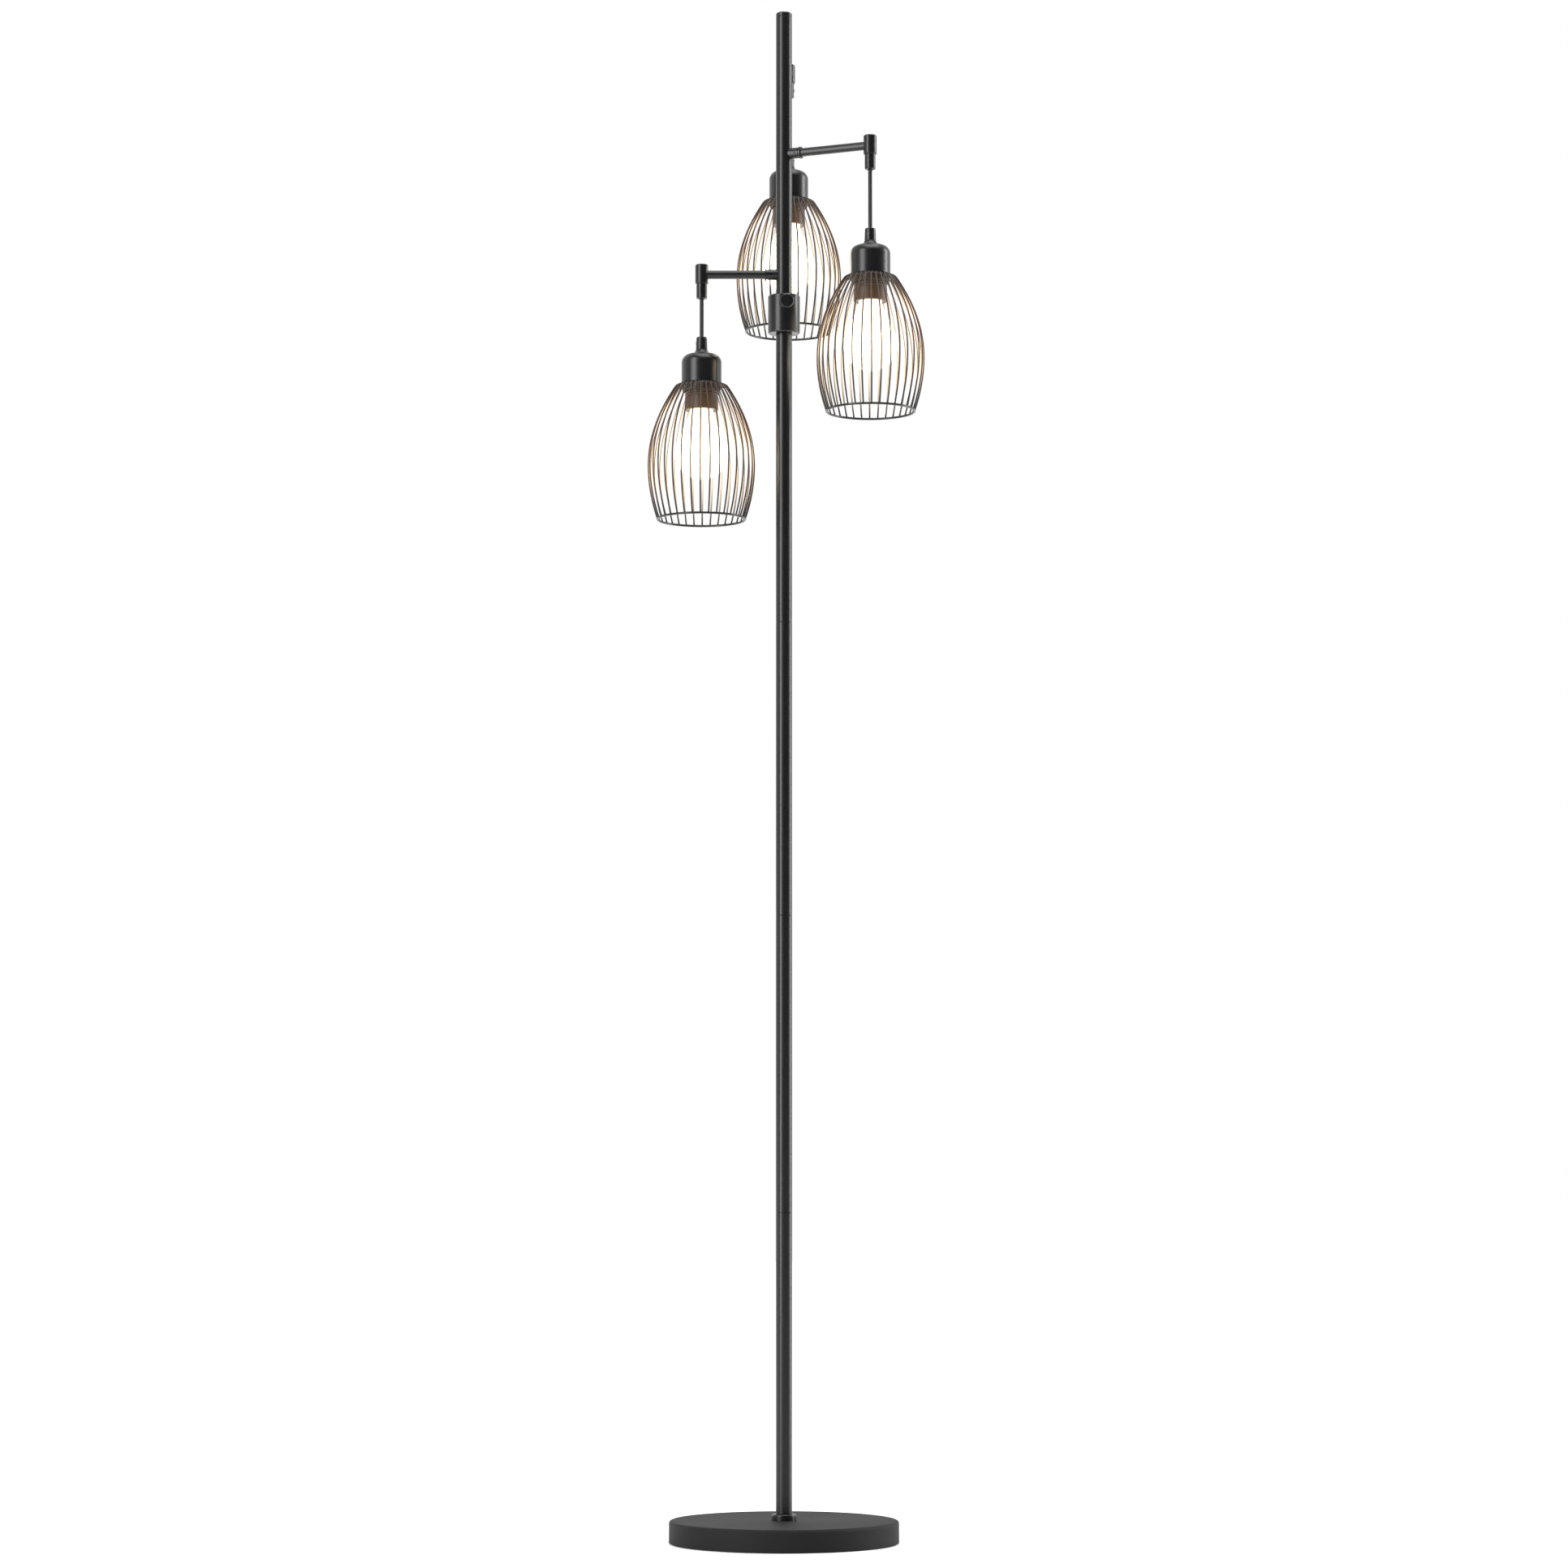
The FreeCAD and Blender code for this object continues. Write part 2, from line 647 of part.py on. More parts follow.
def makeCup(side):
    frame = lampFrame(side)
    inner = "cup_radius - cup_wall"
    thread = "tee_bore + thread_gap"
    pieces.append(turned(side + "_cup", Outline()
        .to(inner, 0)
        .to("cup_radius - 0.5", 0)
        .to("cup_radius", 0.5)
        .to("cup_radius", "cup_side")
        .arc("cup_shoulder_round", 1)
        .to("cup_top_radius", "cup_height")
        .to(thread, "cup_height")
        .to(thread, "cup_height - cup_wall")
        .to("cup_top_radius", "cup_height - cup_wall")
        .arc("cup_shoulder_round - cup_wall", -1)
        .to(inner, "cup_side"), frame))

    bore = "cord_radius + lead_gap"
    seat = frame.multiply(placed(0, 0, val("cup_height")))
    body = turned(side + "_cup_gland_body", Outline()
        .to(bore, "0 - gland_spigot")
        .to("tee_bore", "0 - gland_spigot")
        .to("tee_bore", 0)
        .to("cup_flange_radius", 0)
        .to("cup_flange_radius", "cup_flange_edge")
        .arc("cup_flare_round", -1)
        .to("cup_gland_radius + cup_gland_taper", "cup_flare_up")
        .to("cup_gland_radius", "cup_flange_thick + cup_gland_length - gland_edge")
        .to("cup_gland_radius - gland_edge", "cup_flange_thick + cup_gland_length")
        .to("mouth_radius", "cup_flange_thick + cup_gland_length")
        .to(bore, "cup_flange_thick + cup_gland_length - mouth_depth"))
    facing = alongX if side == "left" else alongY * -screwSides[side]
    height = val("cup_flange_thick") + val("cup_screw_height")
    start = FreeCAD.Vector(0, 0, height) + facing * (val("cup_gland_radius") - 2)
    screw = rod(side + "_cup_screw", "screw_radius", "2 + screw_proud", along(facing, start))
    whole = doc.addObject("Part::Fuse", side + "_cup_gland")
    whole.Base = body
    whole.Tool = screw
    whole.Placement = seat
    doc.recompute()
    pieces.append(whole)


def makeHolder(side):
    frame = lampFrame(side)
    top = "cup_height - gland_spigot"
    pieces.append(turned(side + "_lampholder", outlineOf(
        ("holder_cavity", "0 - holder_below"),
        ("holder_radius - 0.6", "0 - holder_below"),
        ("holder_radius", "0.6 - holder_below"),
        ("holder_radius", top + " - 4"),
        ("holder_radius - 6", top),
        ("cord_radius + lead_gap", top),
        ("cord_radius + lead_gap", top + " - holder_roof"),
        ("holder_cavity", top + " - holder_roof")), frame))

    low = "0 - hub_thick - ring_nut_height"
    pieces.append(turned(side + "_ring_nut", outlineOf(
        ("holder_radius + nut_gap", low),
        ("ring_nut_radius - 0.6", low),
        ("ring_nut_radius", low + " + 0.6"),
        ("ring_nut_radius", "0 - hub_thick - 2.4"),
        ("ring_nut_radius + 1", "0 - hub_thick - 1.8"),
        ("ring_nut_radius + 1", "0 - hub_thick"),
        ("holder_radius + nut_gap", "0 - hub_thick")), frame))


def cageLine():
    """The middle line of one wire, in the XZ plane: nearly flat from the hub to the shoulder,
    then two parabolas, out to the fullest girth and back in to the mouth."""
    full = val("cage_radius")
    shoulder = -val("shoulder_drop")
    girth = shoulder - val("cage_full_drop")
    points = [FreeCAD.Vector(val("hub_radius") - val("wire_inset"), 0, -val("hub_thick") / 2)]
    for share in (0, 0.12, 0.27, 0.46, 0.7, 1):
        inward = (full - val("shoulder_radius")) * (1 - share) ** 2
        points.append(FreeCAD.Vector(full - inward, 0,
                                     shoulder + (girth - shoulder) * share))
    for share in (0.4, 0.72, 1):
        inward = (full - val("cage_mouth_radius")) * share**2
        drop = (val("cage_height") - val("cage_full_drop")) * share
        points.append(FreeCAD.Vector(full - inward, 0, girth - drop))
    return points


def wireShape(points):
    """One wire, swept along its line with flats in place of its round section."""
    half = val("wire_width") / 2
    along = (points[1] - points[0]).normalize()
    across = alongY * half
    up = along.cross(alongY) * half
    start = points[0]
    corners = [start + across + up, start - across + up, start - across - up,
               start + across - up, start + across + up]
    mitred = 1
    line = Part.makePolygon(points)
    return line.makePipeShell([Part.makePolygon(corners)], True, False, mitred)


def flatSided(radius, count, height=0):
    """A closed polygon about the lamp's axis, with the middle of a side on each wire."""
    corner = radius / math.cos(math.pi / count)
    points = []
    for i in range(count + 1):
        angle = math.pi * (2 * i + 1) / count
        points.append(FreeCAD.Vector(corner * math.cos(angle), corner * math.sin(angle),
                                     height))
    return Part.makePolygon(points)


def ringShape(centre, half, count):
    """The bottom ring: a bar of hexagonal section, with one straight side for each wire."""
    rings = []
    for i in range(6):
        angle = math.radians(60 * i + 30)
        rings.append(flatSided(centre.x + half * math.cos(angle), count,
                               centre.z + half * math.sin(angle)))
    sides = []
    for i in range(6):
        sides += Part.makeLoft([rings[i], rings[(i + 1) % 6]], False, True).Faces
    return Part.makeSolid(Part.makeShell(sides))


def cageShape():
    """Wires welded to a flat hub ring above and to a round ring below."""
    points = cageLine()
    wire = wireShape(points)
    count = int(val("wire_count"))
    wires = []
    for i in range(count):
        copy = wire.copy()
        copy.rotate(origin, alongZ, 360 * i / count)
        wires.append(copy)
    foot = FreeCAD.Vector(0, 0, -val("hub_thick"))
    hub = Part.Face(flatSided(val("hub_radius"), count)).extrude(foot)
    hole = Part.makeCylinder(val("holder_radius") + val("nut_gap"), val("hub_thick"), foot)
    ring = ringShape(points[-1], val("ring_width") / 2, count)
    return hub.cut(hole).multiFuse(wires + [ring])


def makeCages():
    shape = cageShape()
    for side in sides:
        cage = doc.addObject("Part::Feature", side + "_cage")
        cage.Shape = shape.copy()
        cage.Placement = lampFrame(side)
        pieces.append(cage)


def makeBulb(side):
    """A clear round bulb hanging in the lampholder: its frame is upside down, Z downwards."""
    rim = val("holder_below") - val("bulb_seat")
    frame = lampFrame(side).multiply(along(alongZ.negative(), FreeCAD.Vector(0, 0, -rim)))
    centre = val("bulb_length") - val("bulb_radius")
    pieces.append(turned(side + "_bulb_glass", glassOutline(centre), frame))

    pieces.append(turned(side + "_bulb_base", outlineOf(
        (0, "0 - base_shell_length"),
        (5, "0 - base_shell_length"),
        ("base_shell_radius", "5 - base_shell_length"),
        ("base_shell_radius", 0),
        (0, 0)), frame))

    post = rod(side + "_filament_post", "support_radius", "filament_drop",
               FreeCAD.Placement())
    bar = rod(side + "_filament_bar", "filament_radius", "filament_width",
              along(alongX, FreeCAD.Vector(-val("filament_width") / 2, 0,
                                           val("filament_drop"))))
    whole = fused(side + "_filament", [post, bar])
    whole.Placement = frame
    pieces.append(whole)


def ballJoin(neck, ball, drop):
    """Where a cone from the neck's end runs smoothly into the ball, as seen from its centre."""
    lean = math.atan2(-drop, neck) + math.acos(ball / math.hypot(neck, drop))
    return ball * math.cos(lean), ball * math.sin(lean)


def glassOutline(centre):
    """Outer and inner walls of the glass: a neck that widens smoothly into a ball."""
    ball = val("bulb_radius")
    neck = val("neck_radius")
    wall = val("glass_wall")
    drop = centre - val("neck_length")
    outerX, outerZ = ballJoin(neck, ball, drop)
    innerX, innerZ = ballJoin(neck - wall, ball - wall, drop)
    return (Outline()
        .to("neck_radius", 0)
        .to("neck_radius", "neck_length")
        .to(outerX, centre + outerZ)
        .arc("bulb_radius", 1)
        .to(0, "bulb_length")
        .to(0, "bulb_length - glass_wall")
        .arc("bulb_radius - glass_wall", -1)
        .to(innerX, centre + innerZ)
        .to("neck_radius - glass_wall", "neck_length")
        .to("neck_radius - glass_wall", 0))


# ---- assembly and export -------------------------------------------------------------------

studFoot = makeFoot()
makeBase()
switchFloor = makePole()
makeSwitch(switchFloor)
makeUpperPole(switchFloor + val("housing_height"))
makeCables(studFoot, switchFloor)
makeScrews()
for armSide in sides:
    makeBoss(armSide)
    makeArm(armSide)
    makeTee(armSide)
    makeTeeGland(armSide)
    makeCord(armSide)
    makeCup(armSide)
    makeHolder(armSide)
    makeBulb(armSide)
makeCages()
doc.recompute()

for item in doc.Objects:
    if "Invalid" in item.State or "Error" in item.State:
        raise RuntimeError(f"{item.Name} did not recompute: {item.State}")

os.makedirs("parts", exist_ok=True)
for piece in pieces:
    shape = piece.Shape
    if shape.isNull() or not shape.isValid() or shape.Volume <= 0:
        raise RuntimeError(f"{piece.Label} has no sound solid")
    shape.exportStep(f"parts/{piece.Label}.step")
    print(f"{piece.Label:24s} {len(shape.Solids)} {shape.Volume / 1000:9.3f} cm3"
          f"  z {shape.BoundBox.ZMin:8.2f} to {shape.BoundBox.ZMax:8.2f}")
print(len(pieces), "pieces")
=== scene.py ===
import json
import math

import bpy
import numpy as np
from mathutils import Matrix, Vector


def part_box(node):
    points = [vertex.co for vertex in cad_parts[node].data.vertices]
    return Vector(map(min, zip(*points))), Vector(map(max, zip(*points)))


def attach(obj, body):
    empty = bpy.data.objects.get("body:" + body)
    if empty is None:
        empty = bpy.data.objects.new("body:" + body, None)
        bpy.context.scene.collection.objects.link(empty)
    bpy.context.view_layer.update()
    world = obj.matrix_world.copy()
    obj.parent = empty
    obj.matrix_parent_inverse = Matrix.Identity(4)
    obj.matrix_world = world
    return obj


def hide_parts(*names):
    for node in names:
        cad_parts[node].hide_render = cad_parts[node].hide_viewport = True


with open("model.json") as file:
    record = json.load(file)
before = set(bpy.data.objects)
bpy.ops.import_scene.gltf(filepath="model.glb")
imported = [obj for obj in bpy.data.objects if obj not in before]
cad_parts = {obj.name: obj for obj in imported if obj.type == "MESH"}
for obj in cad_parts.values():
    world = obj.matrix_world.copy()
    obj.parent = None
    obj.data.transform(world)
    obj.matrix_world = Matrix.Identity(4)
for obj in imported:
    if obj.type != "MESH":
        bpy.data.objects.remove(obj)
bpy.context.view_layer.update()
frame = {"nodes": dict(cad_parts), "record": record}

sides = ("left", "right", "rear")
fullTurn = 2 * np.pi

# each lamp hangs on an upright axis, and its cage starts at the foot of its cup
lampAxis, cupFoot = {}, {}
for side in sides:
    low, high = (np.array(corner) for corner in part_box(side + "_lampholder"))
    lampAxis[side] = (low + high)[:2] / 2
    cupFoot[side] = float(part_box(side + "_cup")[0][2])

# the camera stands in front, near the floor, and looks a little upwards
cameraSet = {"place": (0.0, -4.5574, 0.4021), "pitchUp": 5.7338, "lens": 95.094,
             "sensor": 36, "shiftY": -0.0186}
cameraData = bpy.data.cameras.new("camera")
cameraData.sensor_width = cameraSet["sensor"]
cameraData.lens = cameraSet["lens"]
cameraData.shift_y = cameraSet["shiftY"]
camera = bpy.data.objects.new("camera", cameraData)
camera.location = cameraSet["place"]
camera.rotation_euler = (math.radians(90 + cameraSet["pitchUp"]), 0, 0)
bpy.context.scene.collection.objects.link(camera)
bpy.context.scene.camera = camera
print("camera set")

# the cords hang straight down from the glands under the tees: the heights of their points
cordSet = {
    "radius": 0.00225, "roundness": 6, "steps": 6, "order": 3,
    "left": (1.3743, 1.3503, 1.3263), "right": (1.5118, 1.4763, 1.4408),
    "rear": (1.6308, 1.5953, 1.5598),
}


def makeCord(side):
    # a round tube on a straight line down the lamp's axis, from just inside one gland's mouth
    # to just inside the other's
    x, y = lampAxis[side]
    heights = np.array(cordSet[side])
    count = len(heights)
    curve = bpy.data.curves.new(side + "_flex", "CURVE")
    curve.dimensions = "3D"
    curve.bevel_depth = 1.0  # times each point's own radius
    curve.bevel_resolution = cordSet["roundness"]
    curve.resolution_u = cordSet["steps"]
    curve.use_fill_caps = True
    spline = curve.splines.new("NURBS")
    spline.points.add(count - 1)
    places = np.stack([np.full(count, x), np.full(count, y), heights, np.ones(count)], axis=1)
    spline.points.foreach_set("co", places.ravel())
    spline.points.foreach_set("radius", np.full(count, cordSet["radius"]))
    spline.order_u = cordSet["order"]
    spline.use_endpoint_u = True
    cord = bpy.data.objects.new(side + "_flex", curve)
    bpy.context.scene.collection.objects.link(cord)
    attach(cord, side + "_cord_link")
    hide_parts(side + "_cord")
    return cord


cords = [makeCord(side) for side in sides]
print("cords hung")


class Graph:
    # short calls for adding nodes and wires to one node tree
    def __init__(self, tree):
        self.tree = tree

    def add(self, kind, inputs=None, **settings):
        node = self.tree.nodes.new(kind)
        for name, value in settings.items():
            setattr(node, name, value)
        for name, value in (inputs or {}).items():
            socket = node.inputs[name]
            if isinstance(value, bpy.types.NodeSocket):
                self.tree.links.new(value, socket)
            else:
                socket.default_value = value
        return node

    def link(self, source, target):
        self.tree.links.new(source, target)

    def calc(self, operation, first, second):
        return self.add("ShaderNodeMath", {0: first, 1: second}, operation=operation).outputs[0]

    def vector(self, operation, inputs, output=0):
        return self.add("ShaderNodeVectorMath", inputs, operation=operation).outputs[output]

    def mixColors(self, factor, first, second):
        # a mix keeps its two colours in sockets 6 and 7, and its result in socket 2
        return self.add("ShaderNodeMix", {0: factor, 6: first, 7: second},
                        data_type="RGBA").outputs[2]


def newGroup(name, inputs, outputs):
    # a node group that takes and gives only vectors, colours and plain values
    tree = bpy.data.node_groups.new(name, "ShaderNodeTree")
    for label, kind, value in inputs:
        socket = tree.interface.new_socket(label, in_out="INPUT", socket_type="NodeSocket" + kind)
        if value is not None:
            socket.default_value = value
    for label, kind in outputs:
        tree.interface.new_socket(label, in_out="OUTPUT", socket_type="NodeSocket" + kind)
    graph = Graph(tree)
    return graph, graph.add("NodeGroupInput").outputs, graph.add("NodeGroupOutput").inputs


def makePaintGrain():
    # fine bumps of sprayed powder, and slow patches where it lies a little smoother
    graph, given, result = newGroup("powderGrain", [
        ("Vector", "Vector", None), ("Grain", "Float", 900.0), ("Patch", "Float", 14.0),
        ("Smooth", "Float", 0.28), ("Rough", "Float", 0.4),
        ("Dark", "Color", (0.01, 0.01, 0.011, 1)), ("Light", "Color", (0.02, 0.02, 0.022, 1))],
        [("Height", "Float"), ("Roughness", "Float"), ("Color", "Color")])
    fine = graph.add("ShaderNodeTexNoise", {"Vector": given["Vector"], "Scale": given["Grain"],
                     "Detail": 3.0, "Roughness": 0.6})
    patches = graph.add("ShaderNodeTexNoise", {"Vector": given["Vector"],
                        "Scale": given["Patch"], "Detail": 4.0, "Roughness": 0.55})
    rough = graph.add("ShaderNodeMapRange", {"Value": patches.outputs[0], "From Min": 0.3,
                      "From Max": 0.7, "To Min": given["Smooth"], "To Max": given["Rough"]})
    color = graph.mixColors(patches.outputs[0], given["Dark"], given["Light"])
    graph.link(fine.outputs[0], result["Height"])
    graph.link(rough.outputs[0], result["Roughness"])
    graph.link(color, result["Color"])
    return graph.tree


def makeBulbGlow():
    # light from a bulb's middle: the hot colour up to the near distance, fading to the cool one at
    # the far distance, with the lit colour where the surface faces the bulb. On the bulb's glass
    # this is its own glow; on the wires and the lampholder it is painted bulb light, with a
    # painted highlight where they face the bulb
    graph, given, result = newGroup("bulbGlow", [
        ("Vector", "Vector", None), ("Middle", "Vector", None),
        ("Spread", "Vector", (1.0, 1.0, 1.0)), ("Normal", "Vector", None),
        ("Lit", "Color", (0, 0, 0, 1)), ("Near", "Float", 0.03), ("Far", "Float", 0.09),
        ("Hot", "Color", (1, 0.5, 0.2, 1)), ("Cool", "Color", (0, 0, 0, 1))],
        [("Color", "Color")])
    offset = graph.vector("SUBTRACT", {0: given["Vector"], 1: given["Middle"]})
    offset = graph.vector("MULTIPLY", {0: offset, 1: given["Spread"]})
    gap = graph.vector("LENGTH", {0: offset}, "Value")
    mask = graph.add("ShaderNodeMapRange", {"Value": gap, "From Min": given["Far"],
                     "From Max": given["Near"], "To Min": 0.0, "To Max": 1.0},
                     interpolation_type="SMOOTHSTEP").outputs[0]
    color = graph.mixColors(mask, given["Cool"], given["Hot"])
    aim = graph.vector("NORMALIZE", {0: offset})
    facing = graph.vector("DOT_PRODUCT", {0: aim, 1: given["Normal"]}, "Value")
    toward = graph.add("ShaderNodeMapRange", {"Value": facing, "From Min": -0.2,
                       "From Max": -0.9, "To Min": 0.0, "To Max": 1.0}).outputs[0]
    share = graph.calc("MULTIPLY", toward, mask)
    graph.link(graph.mixColors(share, color, given["Lit"]), result["Color"])
    return graph.tree


powderGrain = makePaintGrain()
bulbGlow = makeBulbGlow()


def newMaterial(name, constants):
    # what is the same all over a surface is set on the shader's own sockets
    material = bpy.data.materials.new(name)
    material.use_nodes = True
    graph = Graph(material.node_tree)
    shader = material.node_tree.nodes["Principled BSDF"].inputs
    for socket, value in constants.items():
        shader[socket].default_value = value
    place = graph.add("ShaderNodeTexCoord").outputs["Object"]
    return material, graph, shader, place


def grained(name, finish):
    # a finish whose colour, roughness and bumps all come from the powder grain
    material, graph, shader, place = newMaterial(name, finish["shader"])
    group = graph.add("ShaderNodeGroup", node_tree=powderGrain)
    graph.link(place, group.inputs["Vector"])
    for socket, value in finish["grain"].items():
        group.inputs[socket].default_value = value
    bump = graph.add("ShaderNodeBump", {"Strength": finish["bump"], "Distance": finish["depth"],
                     "Height": group.outputs["Height"]})
    graph.link(group.outputs["Color"], shader["Base Color"])
    graph.link(group.outputs["Roughness"], shader["Roughness"])
    graph.link(bump.outputs["Normal"], shader["Normal"])
    return material, graph, shader, place


# each finish: constants for the shader, how strong and how deep its bumps are, and its grain
paintGrain = {"Grain": 1500.0, "Patch": 9.0, "Smooth": 0.28, "Rough": 0.32,
              "Dark": (0.0065, 0.0065, 0.0075, 1), "Light": (0.0095, 0.0095, 0.0105, 1)}
finishSet = {
    "blackPowderCoat": {"shader": {}, "bump": 0.05, "depth": 0.0002, "grain": paintGrain},
    "basePowderCoat": {
        "shader": {"Specular IOR Level": 0.18}, "bump": 0.06, "depth": 0.0002,
        "grain": {"Grain": 1300.0, "Patch": 7.0, "Smooth": 0.58, "Rough": 0.66,
                  "Dark": (0.012, 0.012, 0.013, 1), "Light": (0.017, 0.017, 0.018, 1)}},
    "castIron": {
        "shader": {"Metallic": 0.6}, "bump": 0.8, "depth": 0.001,
        "grain": {"Grain": 420.0, "Patch": 30.0, "Smooth": 0.6, "Rough": 0.85,
                  "Dark": (0.05, 0.048, 0.045, 1), "Light": (0.14, 0.135, 0.13, 1)}},
    "footFoam": {
        "shader": {}, "bump": 0.7, "depth": 0.0006,
        "grain": {"Grain": 650.0, "Patch": 40.0, "Smooth": 0.85, "Rough": 0.98,
                  "Dark": (0.018, 0.018, 0.018, 1), "Light": (0.045, 0.045, 0.045, 1)}},
    "zincPlate": {
        "shader": {"Metallic": 1.0}, "bump": 0.15, "depth": 0.0002,
        "grain": {"Grain": 700.0, "Patch": 60.0, "Smooth": 0.22, "Rough": 0.42,
                  "Dark": (0.42, 0.43, 0.45, 1), "Light": (0.62, 0.62, 0.6, 1)}},
    "blackZinc": {
        "shader": {"Metallic": 1.0}, "bump": 0.1, "depth": 0.0002,
        "grain": {"Grain": 900.0, "Patch": 80.0, "Smooth": 0.3, "Rough": 0.45,
                  "Dark": (0.03, 0.03, 0.032, 1), "Light": (0.07, 0.07, 0.072, 1)}},
    "bulbCapMetal": {
        "shader": {"Metallic": 1.0}, "bump": 0.1, "depth": 0.0002,
        "grain": {"Grain": 500.0, "Patch": 90.0, "Smooth": 0.15, "Rough": 0.32,
                  "Dark": (0.55, 0.53, 0.48, 1), "Light": (0.78, 0.76, 0.7, 1)}},
    "mouldedPlastic": {
        "shader": {}, "bump": 0.2, "depth": 0.0003,
        "grain": {"Grain": 1100.0, "Patch": 24.0, "Smooth": 0.34, "Rough": 0.5,
                  "Dark": (0.012, 0.011, 0.01, 1), "Light": (0.022, 0.02, 0.018, 1)}},
    "cordSheath": {
        "shader": {}, "bump": 0.25, "depth": 0.0003,
        "grain": {"Grain": 1800.0, "Patch": 35.0, "Smooth": 0.42, "Rough": 0.6,
                  "Dark": (0.008, 0.008, 0.008, 1), "Light": (0.018, 0.018, 0.018, 1)}},
}
finishes = {name: grained(name, finish)[0] for name, finish in finishSet.items()}
for cord in cords:
    cord.data.materials.append(finishes["cordSheath"])

# each solid that stays takes the finish of its slot, unless it has one of its own
slotFinish = {"black_paint": "blackPowderCoat", "casting": "castIron", "foam": "footFoam",
              "plastic": "mouldedPlastic", "zinc": "zincPlate", "cable": "cordSheath",
              "bulb_metal": "bulbCapMetal"}
ownFinish = {"base_shell": "basePowderCoat", "set_screws": "blackZinc"}
for entry in frame["record"]["subparts"]:
    finish = ownFinish.get(entry["node"], slotFinish.get(entry["material_slot"]))
    if finish:
        for slot in frame["nodes"][entry["node"]].material_slots:
            slot.material = finishes[finish]
print("finishes laid")

# a lit bulb: how far its middle is below the cup, its glass and its coil
bulbSet = {
    "below": 0.078,
    "glass": {"Transmission Weight": 0.35, "Roughness": 0.06, "IOR": 1.45},
    "haze": {"Scale": 60.0, "Detail": 2.0}, "thinGlass": (1.0, 0.93, 0.8, 1),
    "thickGlass": (1.0, 0.97, 0.9, 1),
    "glow": {"strength": 2.0, "group": {"Near": 0.006, "Far": 0.024, "Hot": (1.0, 0.92, 0.76, 1),
             "Cool": (0.6, 0.53, 0.4, 1), "Spread": (0.35, 0.35, 1)}},
    "coil": {"Roughness": 0.4, "Emission Strength": 5.0},
    "turns": {"Scale": 260.0, "Distortion": 2.0}, "coolCoil": (1.0, 0.45, 0.1, 1),
    "hotCoil": (1.0, 0.8, 0.45, 1),
}


def bulbMiddle(side):
    x, y = lampAxis[side]
    return (float(x), float(y), cupFoot[side] - bulbSet["below"])


def addGlow(made, side, glow):
    # the warm light of a side's bulb, laid on a material as its emission
    _, graph, shader, place = made
    group = graph.add("ShaderNodeGroup", node_tree=bulbGlow)
    graph.link(place, group.inputs["Vector"])
    group.inputs["Middle"].default_value = bulbMiddle(side)
    for socket, value in glow["group"].items():
        group.inputs[socket].default_value = value
    if "Lit" in glow["group"]:
        surface = graph.add("ShaderNodeNewGeometry")
        turned = graph.add("ShaderNodeVectorTransform", {"Vector": surface.outputs["Normal"]},
                           vector_type="NORMAL", convert_from="WORLD", convert_to="OBJECT")
        graph.link(turned.outputs[0], group.inputs["Normal"])
    graph.link(group.outputs["Color"], shader["Emission Color"])
    shader["Emission Strength"].default_value = glow["strength"]


def lightBulb(side):
    # glass that is brightest along its middle, and a coil banded by its turns
    s = bulbSet
    made = newMaterial("litGlass_" + side, s["glass"])
    litGlass, graph, shader, place = made
    haze = graph.add("ShaderNodeTexNoise", {"Vector": place, **s["haze"]})
    tint = graph.mixColors(haze.outputs[0], s["thinGlass"], s["thickGlass"])
    graph.link(tint, shader["Base Color"])
    addGlow(made, side, s["glow"])
    for slot in frame["nodes"][side + "_bulb_glass"].material_slots:
        slot.material = litGlass
    hotCoil, graph, shader, place = newMaterial("hotCoil_" + side, s["coil"])
    turns = graph.add("ShaderNodeTexWave", {"Vector": place, **s["turns"]})
    heat = graph.add("ShaderNodeValToRGB", {"Fac": turns.outputs[0]})
    heat.color_ramp.elements[0].color = s["coolCoil"]
    heat.color_ramp.elements[1].color = s["hotCoil"]
    graph.link(heat.outputs["Color"], shader["Base Color"])
    graph.link(heat.outputs["Color"], shader["Emission Color"])
    for slot in frame["nodes"][side + "_filament"].material_slots:
        slot.material = hotCoil


for side in sides:
    lightBulb(side)
print("bulbs lit")


def gridFaces(rows, columns, closeRows=False):
    # quads of a grid of points: its columns always close into a ring, its rows only if asked
    r = np.arange(rows if closeRows else rows - 1)
    r, c = np.meshgrid(r, np.arange(columns), indexing="ij")
    rNext, cNext = (r + 1) % rows, (c + 1) % columns
    return np.stack([r * columns + c, rNext * columns + c,
                     rNext * columns + cNext, r * columns + cNext], axis=-1).reshape(-1, 4)


def endFans(rows, columns):
    # triangles that shut both ends of a tube, round two middle points that follow its grid
    ring = np.arange(columns)
    nextOne = (ring + 1) % columns
    first = np.full(columns, rows * columns)
    last = first + 1
    top = (rows - 1) * columns
    return np.concatenate([np.stack([first, ring, nextOne], axis=1),
                           np.stack([last, top + nextOne, top + ring], axis=1)])


def turnedSurface(radius, height, around, centre):
    # x = middle + radius cos(angle), y = middle + radius sin(angle), z = foot + height: a closed
    # outline carried once round an upright axis, whose radius may also change with the angle
    angle = np.linspace(0, fullTurn, around, endpoint=False)[:, None]
    radius = np.broadcast_to(radius, (around, len(height)))
    coords = np.stack([centre[0] + np.cos(angle) * radius, centre[1] + np.sin(angle) * radius,
                       np.broadcast_to(centre[2] + height, radius.shape)], axis=-1)
    return coords.reshape(-1, 3), [gridFaces(around, len(height), closeRows=True)]


